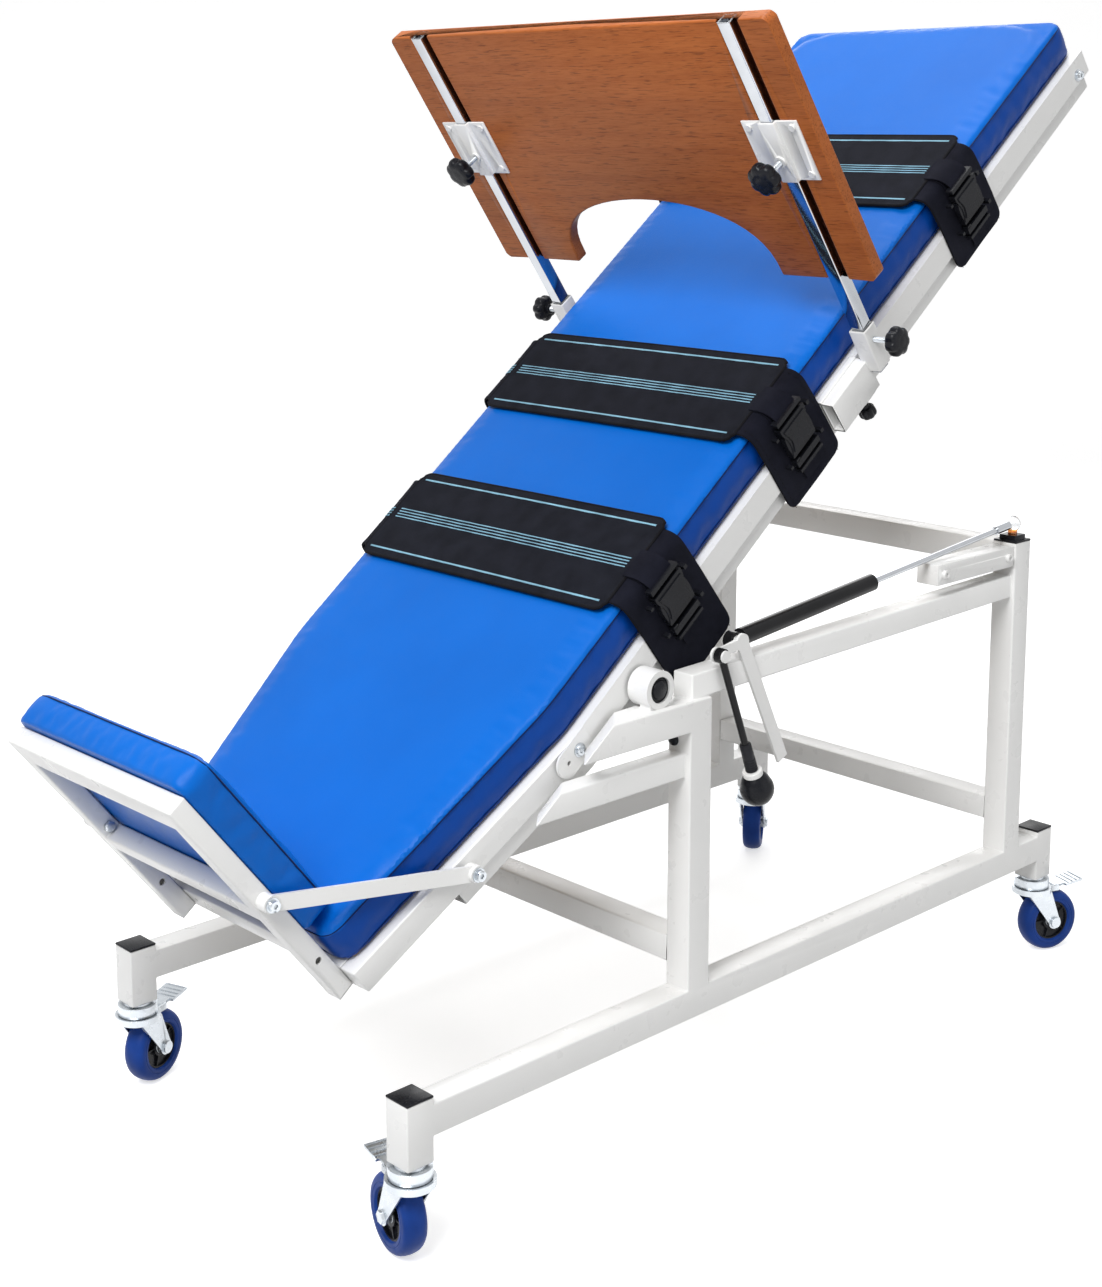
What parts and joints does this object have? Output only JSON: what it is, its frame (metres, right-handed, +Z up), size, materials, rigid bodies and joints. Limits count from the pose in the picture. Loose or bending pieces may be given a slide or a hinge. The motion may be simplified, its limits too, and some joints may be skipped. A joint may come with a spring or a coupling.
{
  "type": "physiotherapy tilt table",
  "caption": "Tilt table on four castors: blue padded table with footboard and three belts, set at about 38 degrees, with a height-adjustable wooden tray.",
  "frame": {"origin": "floor level, on the centre line, halfway along the table as it stands tilted", "axes": "+X toward the head end, +Y toward the far side, +Z up"},
  "size_m": [1.6464, 0.724, 1.4762],
  "materials": {
    "white_paint": "satin",
    "zinc": "satin",
    "blue_tyre": "satin",
    "chrome": "polished",
    "blue_vinyl": "satin",
    "wood": "satin",
    "plywood": "matte",
    "webbing": "matte",
    "black_paint": "gloss",
    "black_plastic": "satin"
  },
  "bodies": {
    "base": {"side_frame_near": "white_paint", "side_frame_far": "white_paint", "front_cross": "white_paint", "rear_cross_low": "white_paint", "rear_cross_top": "white_paint", "bush_plugs": "black_plastic", "post_caps": "black_plastic", "rear_caps": "black_plastic", "rear_arm": "white_paint", "castor_stems": "zinc", "lever_bracket": "white_paint"},
    "castor_near_foot": {"fork_near_foot": "zinc"},
    "wheel_near_foot": {"wheel_near_foot": "blue_tyre"},
    "pedal_near_foot": {"pedal_near_foot": "zinc"},
    "castor_far_foot": {"fork_far_foot": "zinc"},
    "wheel_far_foot": {"wheel_far_foot": "blue_tyre"},
    "pedal_far_foot": {"pedal_far_foot": "zinc"},
    "castor_near_head": {"fork_near_head": "zinc"},
    "wheel_near_head": {"wheel_near_head": "blue_tyre"},
    "pedal_near_head": {"pedal_near_head": "zinc"},
    "castor_far_head": {"fork_far_head": "zinc"},
    "wheel_far_head": {"wheel_far_head": "blue_tyre"},
    "pedal_far_head": {"pedal_far_head": "zinc"},
    "table": {"rail_near": "white_paint", "rail_far": "white_paint", "foot_tie": "white_paint", "underframe": "white_paint", "pivot_tube": "white_paint", "pad_board": "plywood", "main_pad": "blue_vinyl", "table_bolts": "zinc", "footboard_frame": "white_paint", "footboard_pad": "blue_vinyl", "stay_near": "white_paint", "stay_far": "white_paint", "belt_pad_low": "webbing", "belt_strap_low": "webbing", "buckle_low": "black_plastic", "belt_pad_mid": "webbing", "belt_strap_mid": "webbing", "buckle_mid": "black_plastic", "belt_pad_top": "webbing", "belt_strap_top": "webbing", "buckle_top": "black_plastic"},
    "tray_carriage": {"clamp_near": "white_paint", "clamp_far": "white_paint"},
    "tray_posts": {"post_near": "chrome", "post_far": "chrome"},
    "tray": {"tray_board": "wood", "tray_bracket_near": "white_paint", "tray_bracket_far": "white_paint"},
    "bracket_knob_near": {"bracket_knob_near": "black_plastic"},
    "socket_knob_near": {"socket_knob_near": "black_plastic"},
    "clamp_knob_near": {"clamp_knob_near": "black_plastic"},
    "bracket_knob_far": {"bracket_knob_far": "black_plastic"},
    "socket_knob_far": {"socket_knob_far": "black_plastic"},
    "clamp_knob_far": {"clamp_knob_far": "black_plastic"},
    "gas_cylinder": {"gas_cylinder": "black_paint"},
    "gas_rod": {"gas_rod": "chrome"},
    "release_lever": {"release_lever": "black_plastic"}
  },
  "joints": [
    {"name": "swivel_near_foot", "type": "hinge", "parent": "base", "child": "castor_near_foot", "pos_m": [-0.587, -0.295, 0.11], "axis": [0, 0, 1], "continuous": true},
    {"name": "roll_near_foot", "type": "hinge", "parent": "castor_near_foot", "child": "wheel_near_foot", "pos_m": [-0.58035, -0.2637, 0.05], "axis": [-0.9781, 0.2079, 0], "continuous": true},
    {"name": "brake_near_foot", "type": "hinge", "parent": "castor_near_foot", "child": "pedal_near_foot", "pos_m": [-0.5791, -0.25783, 0.1055], "axis": [-0.9781, 0.2079, 0], "range_deg": [0, 12]},
    {"name": "swivel_far_foot", "type": "hinge", "parent": "base", "child": "castor_far_foot", "pos_m": [-0.587, 0.295, 0.11], "axis": [0, 0, 1], "continuous": true},
    {"name": "roll_far_foot", "type": "hinge", "parent": "castor_far_foot", "child": "wheel_far_foot", "pos_m": [-0.55693, 0.30595, 0.05], "axis": [-0.342, 0.9397, 0], "continuous": true},
    {"name": "brake_far_foot", "type": "hinge", "parent": "castor_far_foot", "child": "pedal_far_foot", "pos_m": [-0.55129, 0.308, 0.1055], "axis": [-0.342, 0.9397, 0], "range_deg": [0, 12]},
    {"name": "swivel_near_head", "type": "hinge", "parent": "base", "child": "castor_near_head", "pos_m": [0.703, -0.295, 0.11], "axis": [0, 0, 1], "continuous": true},
    {"name": "roll_near_head", "type": "hinge", "parent": "castor_near_head", "child": "wheel_near_head", "pos_m": [0.73307, -0.30595, 0.05], "axis": [0.342, 0.9397, 0], "continuous": true},
    {"name": "brake_near_head", "type": "hinge", "parent": "castor_near_head", "child": "pedal_near_head", "pos_m": [0.73871, -0.308, 0.1055], "axis": [0.342, 0.9397, 0], "range_deg": [0, 12]},
    {"name": "swivel_far_head", "type": "hinge", "parent": "base", "child": "castor_far_head", "pos_m": [0.703, 0.295, 0.11], "axis": [0, 0, 1], "continuous": true},
    {"name": "roll_far_head", "type": "hinge", "parent": "castor_far_head", "child": "wheel_far_head", "pos_m": [0.72921, 0.31335, 0.05], "axis": [-0.5736, 0.8192, 0], "continuous": true},
    {"name": "brake_far_head", "type": "hinge", "parent": "castor_far_head", "child": "pedal_far_head", "pos_m": [0.73413, 0.3168, 0.1055], "axis": [-0.5736, 0.8192, 0], "range_deg": [0, 12]},
    {"name": "table_tilt", "type": "hinge", "parent": "base", "child": "table", "pos_m": [-0.183, 0, 0.614], "axis": [0, -1, 0], "range_deg": [-26.4, 46.6]},
    {"name": "carriage_slide", "type": "slide", "parent": "table", "child": "tray_carriage", "axis": [0.7837, 0, 0.6211], "range_m": [0, 0.1]},
    {"name": "post_lift", "type": "slide", "parent": "tray_carriage", "child": "tray_posts", "axis": [-0.5793, 0, 0.8151], "range_m": [0, 0.045]},
    {"name": "tray_height", "type": "slide", "parent": "tray_posts", "child": "tray", "axis": [-0.5793, 0, 0.8151], "range_m": [-0.06, 0.14]},
    {"name": "bracket_knob_turn_near", "type": "hinge", "parent": "tray", "child": "bracket_knob_near", "pos_m": [0.04633, -0.296, 1.27046], "axis": [-0.8151, 0, -0.5793], "continuous": true},
    {"name": "socket_knob_turn_near", "type": "hinge", "parent": "tray_carriage", "child": "socket_knob_near", "pos_m": [0.23174, -0.306, 1.02682], "axis": [0, -1, 0], "continuous": true},
    {"name": "clamp_knob_turn_near", "type": "hinge", "parent": "tray_carriage", "child": "clamp_knob_near", "pos_m": [0.2762, -0.256, 0.93458], "axis": [0.6211, 0, -0.7837], "continuous": true},
    {"name": "bracket_knob_turn_far", "type": "hinge", "parent": "tray", "child": "bracket_knob_far", "pos_m": [0.04633, 0.296, 1.27046], "axis": [-0.8151, 0, -0.5793], "continuous": true},
    {"name": "socket_knob_turn_far", "type": "hinge", "parent": "tray_carriage", "child": "socket_knob_far", "pos_m": [0.23174, 0.306, 1.02682], "axis": [0, 1, 0], "continuous": true},
    {"name": "clamp_knob_turn_far", "type": "hinge", "parent": "tray_carriage", "child": "clamp_knob_far", "pos_m": [0.2762, 0.256, 0.93458], "axis": [0.6211, 0, -0.7837], "continuous": true},
    {"name": "spring_swing", "type": "hinge", "parent": "base", "child": "gas_cylinder", "pos_m": [-0.035, -0.295, 0.65], "axis": [0, -1, 0], "range_deg": [0, 5]},
    {"name": "spring_stroke", "type": "slide", "parent": "gas_cylinder", "child": "gas_rod", "axis": [0.9948, 0, 0.102], "range_m": [-0.2, 0]},
    {"name": "lever_swing", "type": "hinge", "parent": "base", "child": "release_lever", "pos_m": [-0.085, -0.31975, 0.643], "axis": [0, 1, 0], "range_deg": [0, 12]}
  ]
}
